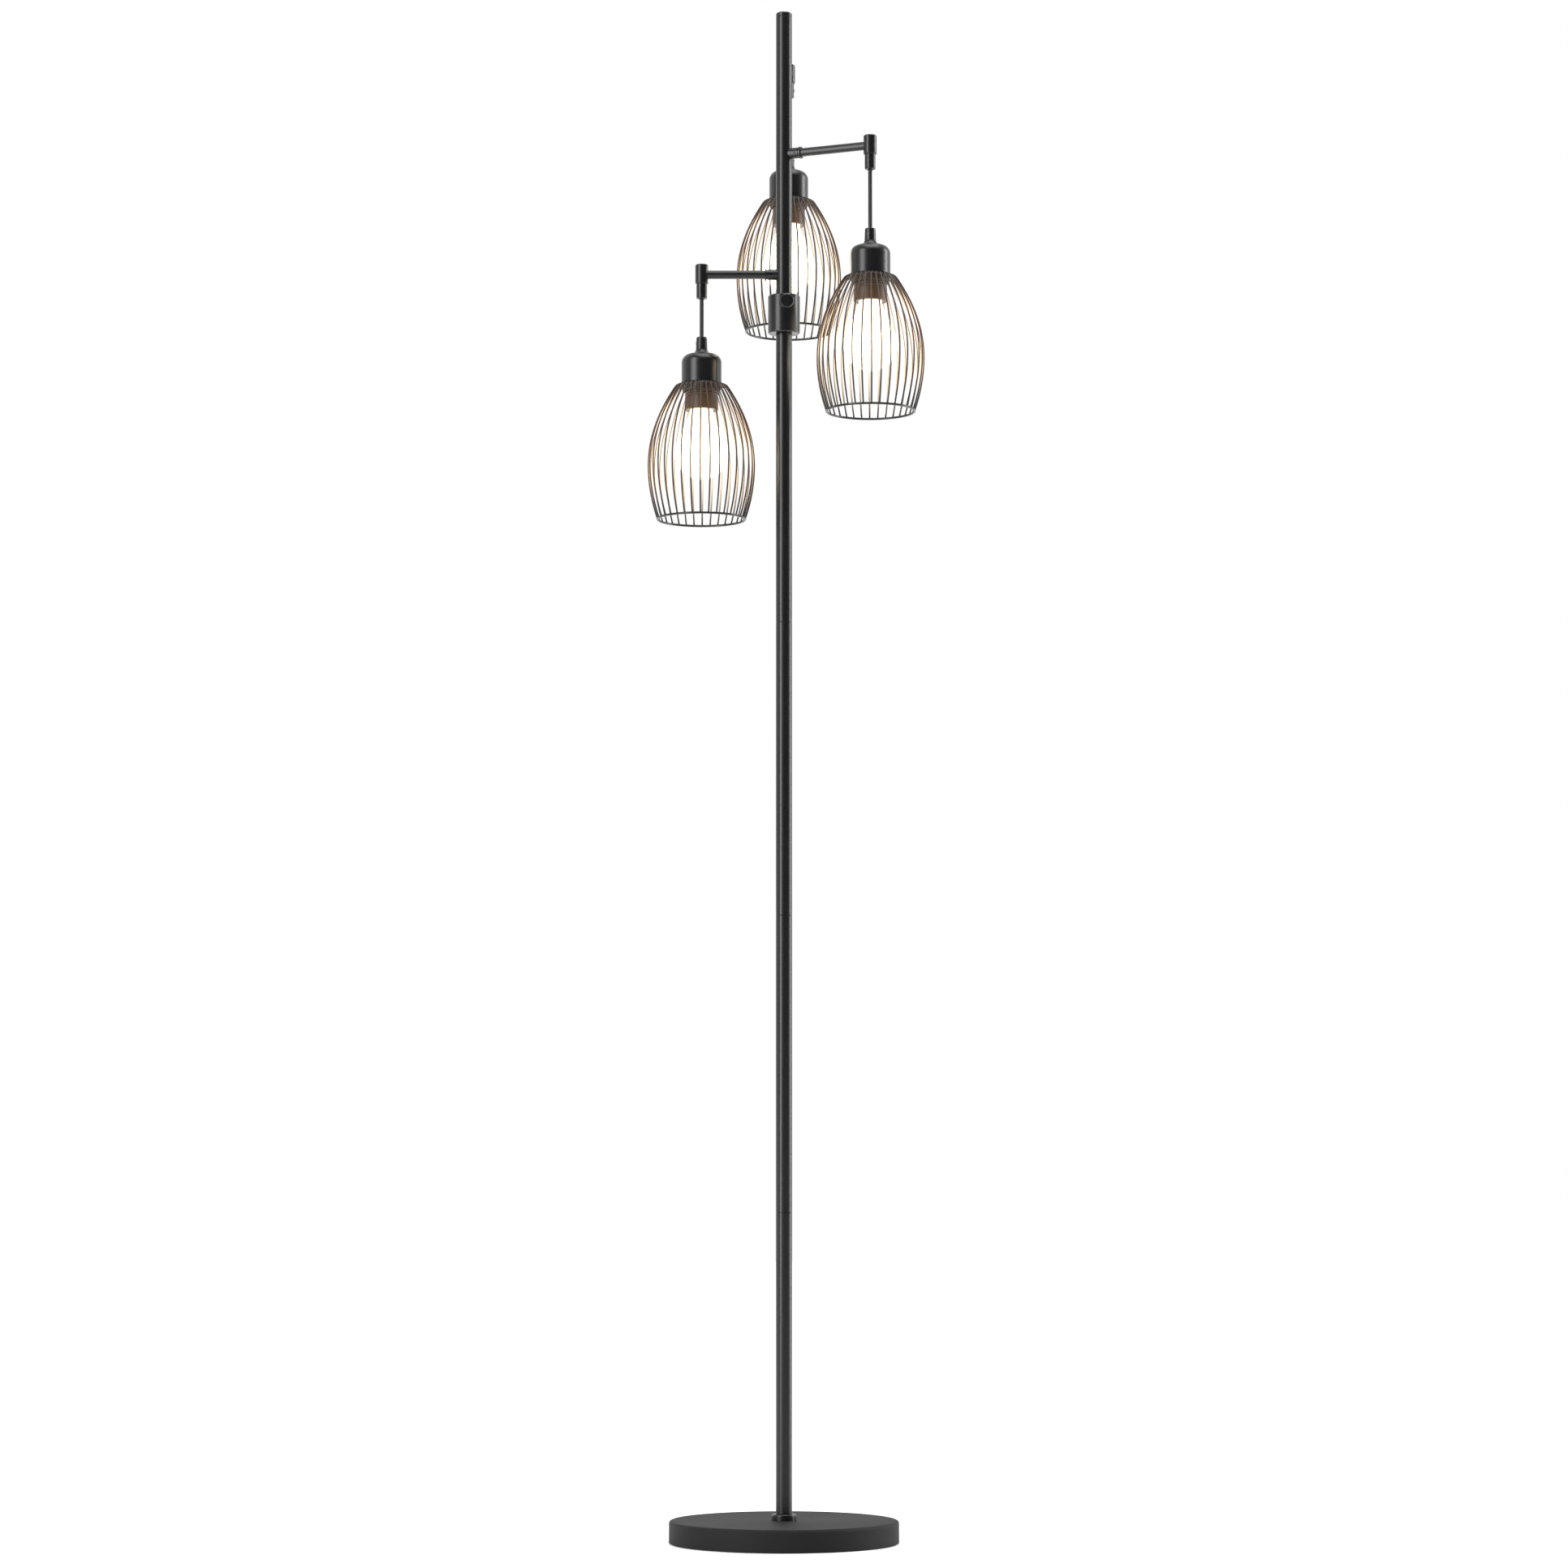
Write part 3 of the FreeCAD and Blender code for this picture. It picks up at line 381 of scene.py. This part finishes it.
def meshPiece(name, parts, material):
    # one smooth object from several lists of points, each with its lists of faces
    points, quads, tris, start = [], [], [], 0
    for coords, faces in parts:
        for face in faces:
            (quads if face.shape[1] == 4 else tris).append(face + start)
        points.append(coords)
        start += len(coords)
    coords = np.concatenate(points)
    groups = [(group, width) for group, width in ((quads, 4), (tris, 3)) if group]
    loops = np.concatenate([np.concatenate(group).ravel() for group, _ in groups])
    sizes = np.concatenate([np.full(sum(map(len, group)), width) for group, width in groups])
    starts = np.concatenate([[0], np.cumsum(sizes)[:-1]])
    mesh = bpy.data.meshes.new(name)
    mesh.vertices.add(len(coords))
    mesh.vertices.foreach_set("co", coords.ravel().astype(np.float32))
    mesh.loops.add(len(loops))
    mesh.loops.foreach_set("vertex_index", loops.astype(np.int32))
    mesh.polygons.add(len(sizes))
    mesh.polygons.foreach_set("loop_start", starts.astype(np.int32))
    mesh.polygons.foreach_set("use_smooth", np.ones(len(sizes), dtype=bool))
    mesh.update(calc_edges=True)
    mesh.validate()
    mesh.materials.append(material)
    piece = bpy.data.objects.new(name, mesh)
    bpy.context.scene.collection.objects.link(piece)
    return piece


def creased(piece, degrees):
    # edges where the surface turns by more than this stay hard
    piece.data.set_sharp_from_angle(angle=math.radians(degrees))


# the wires' line, by radius and by drop below the hub, and the rings that hold them
wireSet = {
    "count": 34, "radius": 0.00092, "rows": 72, "round": 8, "bend": 0.0045,
    "start": 0.0229, "startDrop": 0.0006, "shoulder": 0.0286, "shoulderDrop": 0.0027,
    "full": 0.059, "fullDrop": 0.090, "mouth": 0.0486, "height": 0.150,
    "curveSteps": 400, "flatSteps": 29, "evenSteps": 1600, "crowd": 0.65, "crowdPower": 1.8,
}
ringSet = {"radius": 0.0013, "around": 136, "round": 12}
hubSet = {"inner": 0.0188, "outer": 0.0236, "thick": 0.0012, "edge": 0.0003, "around": 136}
wirePaintSet = {"shader": {}, "bump": 0.1, "depth": 0.0002, "grain": paintGrain}
# bulb light painted on the cage wires as emission: a painted warm-brown glow near the bulb, and a
# painted highlight on the sides that face it
wirePaintedBulbLight = {"strength": 0.42, "group": {"Near": 0.05, "Far": 0.088, "Lit": (4.2, 3.1, 1.9, 1),
            "Hot": (0.17, 0.052, 0.027, 1)}}


def resample(at, along, line):
    return np.stack([np.interp(at, along, line[:, 0]), np.interp(at, along, line[:, 1])], axis=1)


def wireLine():
    # a wire's radius and drop for t from 0 to 1 on each stretch. Hub to shoulder: straight.
    # Shoulder to fullest girth: radius = shoulder + (full - shoulder)(1 - (1 - t) squared).
    # Girth to mouth: radius = full - (full - mouth)(t squared). The drop grows evenly with t
    s = wireSet
    out = np.linspace(0, 1, s["curveSteps"])
    back = out[1:]
    flat = np.linspace(0, 1, s["flatSteps"], endpoint=False)
    radius = np.concatenate([
        s["start"] + (s["shoulder"] - s["start"]) * flat,
        s["shoulder"] + (s["full"] - s["shoulder"]) * (1 - (1 - out) ** 2),
        s["full"] - (s["full"] - s["mouth"]) * back ** 2])
    drop = np.concatenate([
        s["startDrop"] + (s["shoulderDrop"] - s["startDrop"]) * flat,
        s["shoulderDrop"] + s["fullDrop"] * out,
        s["shoulderDrop"] + s["fullDrop"] + (s["height"] - s["fullDrop"]) * back])
    line = np.stack([radius, drop], axis=1)
    along = np.concatenate([[0], np.cumsum(np.linalg.norm(np.diff(line, axis=0), axis=1))])
    even = np.linspace(0, along[-1], s["evenSteps"])
    fine = resample(even, along, line)
    # the corner at the shoulder is rounded by an average over the bend's length
    half = int(s["bend"] / (even[1] * 2))
    padded = np.concatenate([2 * fine[0] - fine[half:0:-1], fine,
                             2 * fine[-1] - fine[-2:-half - 2:-1]])
    weights = np.hanning(2 * half + 3)[1:-1]
    weights /= weights.sum()
    smooth = np.stack([np.convolve(padded[:, k], weights, "valid") for k in (0, 1)], axis=1)
    # rows lie closer together where the wire turns fastest
    share = np.linspace(0, 1, s["rows"])
    pick = (1 - s["crowd"]) * share + s["crowd"] * share ** s["crowdPower"]
    return resample(pick * (len(smooth) - 1), np.arange(len(smooth)), smooth)


def cageWires(centre):
    # a circle of the wire's radius carried down its line, square to it at each row: with a going
    # round the wire, outward = radius + r cos(a) times the line's slope down, drop = drop
    # - r cos(a) times its slope out, across = r sin(a). Then each wire is turned to its place
    s = wireSet
    line = wireLine()
    rows = len(line)
    tangent = np.gradient(line, axis=0)
    tangent /= np.linalg.norm(tangent, axis=1)[:, None]
    turn = np.linspace(0, fullTurn, s["round"], endpoint=False)
    outward = line[:, 0][:, None] + s["radius"] * np.cos(turn) * tangent[:, 1][:, None]
    drop = line[:, 1][:, None] - s["radius"] * np.cos(turn) * tangent[:, 0][:, None]
    across = np.broadcast_to(s["radius"] * np.sin(turn), outward.shape)
    # the middle points of both ends follow each wire's grid
    outward = np.concatenate([outward.ravel(), line[[0, -1], 0]])
    drop = np.concatenate([drop.ravel(), line[[0, -1], 1]])
    across = np.concatenate([across.ravel(), (0, 0)])
    spin = fullTurn * (np.arange(s["count"])[:, None] + 0.5) / s["count"]
    coords = np.stack([centre[0] + np.cos(spin) * outward - np.sin(spin) * across,
                       centre[1] + np.sin(spin) * outward + np.cos(spin) * across,
                       np.broadcast_to(centre[2] - drop, (s["count"], len(drop)))], axis=-1)
    shift = (np.arange(s["count"]) * len(drop))[:, None, None]
    quads = (gridFaces(rows, s["round"])[None] + shift).reshape(-1, 4)
    fans = (endFans(rows, s["round"])[None] + shift).reshape(-1, 3)
    return coords.reshape(-1, 3), [quads, fans]


def makeCage(side, material):
    centre = (*lampAxis[side], cupFoot[side])
    # the bottom ring: radius = mouth + r cos(a), height = foot of the wires + r sin(a)
    bend = np.linspace(0, fullTurn, ringSet["round"], endpoint=False)
    foot = -wireSet["shoulderDrop"] - wireSet["height"]
    ring = turnedSurface(wireSet["mouth"] + ringSet["radius"] * np.cos(bend),
                         foot + ringSet["radius"] * np.sin(bend), ringSet["around"], centre)
    # the hub ring: a flat washer with its four corners cut
    inner, outer, low, high = hubSet["inner"], hubSet["outer"], -hubSet["thick"], 0.0
    e = hubSet["edge"]
    outline = np.array([(inner + e, low), (outer - e, low), (outer, low + e), (outer, high - e),
                        (outer - e, high), (inner + e, high), (inner, high - e), (inner, low + e)])
    hub = turnedSurface(outline[:, 0], outline[:, 1], hubSet["around"], centre)
    cage = meshPiece(side + "_wire_cage", [cageWires(centre), ring, hub], material)
    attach(cage, side + "_lamp")
    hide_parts(side + "_cage")


for side in sides:
    wirePaint = grained("cageWirePaintAndBulbLight_" + side, wirePaintSet)
    # the black wire paint, with the bulb's light painted on it as emission
    addGlow(wirePaint, side, wirePaintedBulbLight)
    makeCage(side, wirePaint[0])
print("cages wired")

# the lampholder with its moulded thread, with heights from the foot of the cup
holderSet = {
    "radius": 0.0186, "low": -0.030, "top": 0.0274, "cavity": 0.0136, "roof": 0.0154,
    "hole": 0.0026, "bevelIn": 0.006, "bevelOut": 0.0045, "bevelDrop": 0.0004,
    "shoulder": 0.004, "edge": 0.0006, "pitch": 0.003, "thread": 0.0007, "crest": 1.5,
    "threadTop": 0.004, "runIn": 0.004, "threadFoot": -0.0165, "runOut": 0.002,
    "rows": 150, "around": 96, "crease": 40,
}
nutSet = {
    "inner": 0.0188, "outer": 0.0212, "flange": 0.0222, "low": -0.0092, "top": -0.0012,
    "flangeThick": 0.0006, "ribs": 30, "ribDepth": 0.0007, "ribSteep": 2.2,
    "innerEdge": 0.0004, "outerEdge": 0.0006, "ribEnd": 0.0008, "flangeEdge": 0.0002,
    "around": 360, "crease": 32,
}
# a warmer copy of the black moulded plastic, whose brown tint is painted light from the bulb
plasticWithPaintedBulbLightSet = {
    "shader": {}, "bump": 0.2, "depth": 0.0003,
    "grain": {"Grain": 1100.0, "Patch": 24.0, "Smooth": 0.34, "Rough": 0.5,
              "Dark": (0.02, 0.014, 0.008, 1), "Light": (0.03, 0.02, 0.011, 1)}}
# the bulb's light painted on the lampholder and its nut as emission, warm brown near the bulb
holderPaintedBulbLight = {"strength": 0.2, "group": {"Near": 0.045, "Far": 0.088,
               "Hot": (0.33, 0.15, 0.045, 1)}}


def makeHolder(side, material):
    # a turned tube. On its skin, radius = holder radius - thread depth times a helical wave,
    # cos(full turns of height over pitch - angle) with its crests and roots cut flat, which
    # fades out at both ends of the thread
    s = holderSet
    radius, edge = s["radius"], s["edge"]
    down = np.linspace(s["top"] - s["shoulder"], s["low"] + edge, s["rows"])
    angle = np.linspace(0, fullTurn, s["around"], endpoint=False)
    wave = np.cos(fullTurn * (down[None] / s["pitch"]) - angle[:, None])
    root = 0.5 - 0.5 * np.clip(wave * s["crest"], -1, 1)
    fade = (np.clip((s["threadTop"] - down) / s["runIn"], 0, 1)
            * np.clip((down - s["threadFoot"]) / s["runOut"], 0, 1))
    skin = radius - s["thread"] * root * fade
    head = np.array([(s["hole"], s["roof"]), (s["hole"], s["top"]),
                     (radius - s["bevelIn"], s["top"]),
                     (radius - s["bevelOut"], s["top"] - s["bevelDrop"])])
    tail = np.array([(radius - edge, s["low"]), (s["cavity"] + edge, s["low"]),
                     (s["cavity"], s["low"] + edge), (s["cavity"], s["roof"])])
    reach = np.concatenate([np.tile(head[:, 0], (s["around"], 1)), skin,
                            np.tile(tail[:, 0], (s["around"], 1))], axis=1)
    height = np.concatenate([head[:, 1], down, tail[:, 1]])
    # the outline is turned over, so that it runs upwards outside and the faces look outwards
    surface = turnedSurface(reach[:, ::-1], height[::-1], s["around"],
                            (*lampAxis[side], cupFoot[side]))
    holder = meshPiece(side + "_holder_shell", [surface], material)
    creased(holder, s["crease"])
    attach(holder, side + "_lamp")
    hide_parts(side + "_lampholder")


def makeNut(side, material):
    # a turned ring whose outer wall has radius = outer - rib depth times (1 - rib), where
    # rib = half of (1 + cos(ribs times angle)), made steeper and cut flat
    s = nutSet
    angle = np.linspace(0, fullTurn, s["around"], endpoint=False)
    rib = 0.5 + 0.5 * np.clip(s["ribSteep"] * np.cos(s["ribs"] * angle), -1, 1)
    press = s["ribDepth"] * (1 - rib)
    inner, outer, flange, low, top = (s[k] for k in ("inner", "outer", "flange", "low", "top"))
    lip = top - s["flangeThick"]
    # radius, height, and whether the ribs press it in
    outline = np.array([
        (inner, low + s["innerEdge"], 0), (inner + s["innerEdge"], low, 0),
        (outer - s["outerEdge"], low, 1), (outer, low + s["outerEdge"], 1),
        (outer, lip - s["ribEnd"], 1), (outer + s["flangeEdge"], lip, 0),
        (flange - s["flangeEdge"], lip, 0), (flange, lip + s["flangeEdge"], 0),
        (flange, top, 0), (inner, top, 0)])
    surface = turnedSurface(outline[:, 0] - press[:, None] * outline[:, 2], outline[:, 1],
                            s["around"], (*lampAxis[side], cupFoot[side]))
    nut = meshPiece(side + "_ribbed_nut", [surface], material)
    creased(nut, s["crease"])
    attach(nut, side + "_lamp")
    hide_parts(side + "_ring_nut")


for side in sides:
    # the lampholder and nut plastic, tinted and glowing with painted bulb light
    plasticWithPaintedBulbLight = grained("plasticWithPaintedBulbLight_" + side, plasticWithPaintedBulbLightSet)
    addGlow(plasticWithPaintedBulbLight, side, holderPaintedBulbLight)
    makeHolder(side, plasticWithPaintedBulbLight[0])
    makeNut(side, plasticWithPaintedBulbLight[0])
print("lampholders threaded")

# a pale floor, an even studio and three soft lights
floorSet = {"reach": 14.0, "level": -0.0002, "color": (0.86, 0.86, 0.86, 1), "roughness": 0.9,
            "lift": 0.3, "near": 0.25, "far": 1.1, "behind": 0.1}
worldSet = {"dim": 0.03, "full": 1.0, "front": -0.6, "back": 0.4, "behind": 0.25}
lightSet = {
    "leftWall": {"place": (-2.1, -2.0, 1.5), "aim": (0, 0, 0.9), "size": (1.3, 3.4), "watts": 82},
    "rightWall": {"place": (3.0, 0.6, 1.5), "aim": (0, 0, 1.0), "size": (0.8, 3.0), "watts": 70},
    "over": {"place": (0.3, -0.6, 3.6), "aim": (0, 0, 0.8), "size": (2.2, 2.2), "watts": 50},
}


def whiteRays(graph, depth, limit):
    # 1 for rays from the camera, and for mirrored and bent ones that end beyond the limit
    path = graph.add("ShaderNodeLightPath").outputs
    behind = graph.calc("GREATER_THAN", depth, limit)
    mirrored = graph.calc("MAXIMUM", path["Is Glossy Ray"], path["Is Transmission Ray"])
    mirrored = graph.calc("MULTIPLY", mirrored, behind)
    return graph.calc("MAXIMUM", path["Is Camera Ray"], mirrored)


def makeFloor():
    # one flat sheet far wider than the view, lifted to white away from the lamp's shadow
    s = floorSet
    r, z = s["reach"], s["level"]
    mesh = bpy.data.meshes.new("floor")
    mesh.from_pydata([(-r, -r, z), (r, -r, z), (r, r, z), (-r, r, z)], [], [(0, 1, 2, 3)])
    floor = bpy.data.objects.new("floor", mesh)
    bpy.context.scene.collection.objects.link(floor)
    material, graph, shader, place = newMaterial("paleFloor", {
        "Base Color": s["color"], "Roughness": s["roughness"], "Emission Color": (1, 1, 1, 1)})
    spot = graph.add("ShaderNodeSeparateXYZ", {"Vector": place})
    seen = whiteRays(graph, spot.outputs["Y"], s["behind"])
    white = graph.add("ShaderNodeMapRange", {"Value": graph.vector("LENGTH", {0: place}, "Value"),
                      "From Min": s["near"], "From Max": s["far"], "To Min": s["lift"],
                      "To Max": 1.0}, interpolation_type="SMOOTHSTEP")
    graph.link(graph.calc("MULTIPLY", seen, white.outputs[0]), shader["Emission Strength"])
    mesh.materials.append(material)


def makeWorld():
    # an even studio, dimmer on the side in front of the lamp, and white behind it
    s = worldSet
    world = bpy.data.worlds.new("studio")
    world.use_nodes = True
    bpy.context.scene.world = world
    graph = Graph(world.node_tree)
    direction = graph.add("ShaderNodeTexCoord").outputs["Generated"]
    depth = graph.add("ShaderNodeSeparateXYZ", {"Vector": direction}).outputs["Y"]
    toward = graph.add("ShaderNodeMapRange", {"Value": depth, "From Min": s["front"],
                       "From Max": s["back"], "To Min": s["dim"], "To Max": s["full"]},
                       interpolation_type="SMOOTHSTEP")
    white = whiteRays(graph, depth, s["behind"])
    level = graph.add("ShaderNodeMix", {0: white, 2: toward.outputs[0], 3: s["full"]},
                      data_type="FLOAT")
    background = world.node_tree.nodes["Background"].inputs
    background["Color"].default_value = (1, 1, 1, 1)
    graph.link(level.outputs[0], background["Strength"])


def makeLights():
    # wide panels, each turned towards a point on the pole
    for name, s in lightSet.items():
        data = bpy.data.lights.new(name, "AREA")
        data.shape = "RECTANGLE"
        data.size, data.size_y = s["size"]
        data.energy = s["watts"]
        light = bpy.data.objects.new(name, data)
        light.location = s["place"]
        aim = Vector(s["aim"]) - Vector(s["place"])
        light.rotation_euler = aim.to_track_quat("-Z", "Y").to_euler()
        bpy.context.scene.collection.objects.link(light)


makeFloor()
makeWorld()
makeLights()
bpy.context.scene.view_settings.view_transform = "Standard"
print("studio lit")

bpy.context.view_layer.update()
